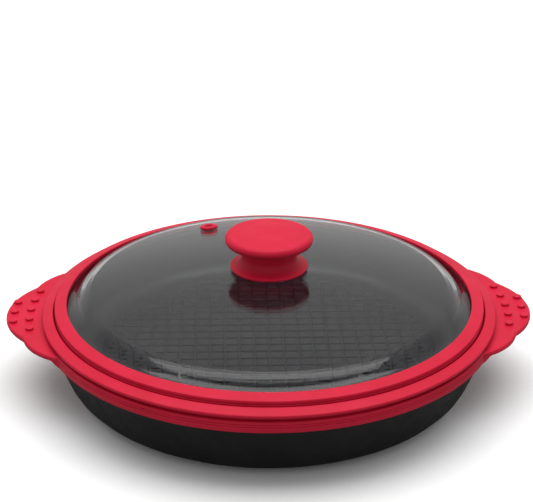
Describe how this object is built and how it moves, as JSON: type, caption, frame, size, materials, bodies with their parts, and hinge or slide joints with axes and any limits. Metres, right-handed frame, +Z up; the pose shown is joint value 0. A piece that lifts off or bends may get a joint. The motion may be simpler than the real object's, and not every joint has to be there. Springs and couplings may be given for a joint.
{
  "type": "covered grill pan",
  "caption": "Round double-walled grill pan with a grid floor, silicone rim and side handles, and a domed glass lid with a knob and steam vent.",
  "frame": {"origin": "centre of the base's underside, on the surface the pan stands on", "axes": "+Z up, +X from one handle to the other, +Y away from the front; front and back are alike but for the steam vent, which is at the back left"},
  "size_m": [0.3166, 0.272, 0.095],
  "materials": {
    "nonstick": "cast aluminium with a black non-stick coating, satin",
    "shell": "black satin heat-resistant moulding",
    "red_silicone": "red silicone, soft satin",
    "ferrite": "dark grey ferrite-filled silicone, matt",
    "glass": "clear tempered glass",
    "phenolic": "black phenolic",
    "brass": "turned brass",
    "steel": "stainless steel",
    "clear_silicone": "translucent silicone",
    "black_silicone": "black silicone, matt"
  },
  "bodies": {
    "pan": {"grill_pan": "nonstick", "heat_layer": "ferrite", "outer_shell": "shell", "rim_seal": "red_silicone", "handle_ring": "red_silicone", "base_screw_1": "steel", "base_screw_2": "steel", "base_screw_3": "steel", "base_screw_4": "steel", "screw_plug_1": "black_silicone", "screw_plug_2": "black_silicone", "screw_plug_3": "black_silicone", "screw_plug_4": "black_silicone"},
    "lid": {"lid_glass": "glass", "lid_edge_seal": "red_silicone", "steam_vent": "red_silicone", "knob_cover": "red_silicone", "knob_core": "phenolic", "knob_insert": "brass", "knob_screw": "steel", "knob_washer": "steel", "knob_gasket": "clear_silicone"}
  },
  "joints": [
    {"name": "lid_lift", "type": "slide", "parent": "pan", "child": "lid", "axis": [0, 0, 1], "range_m": [0, 0.13]}
  ]
}
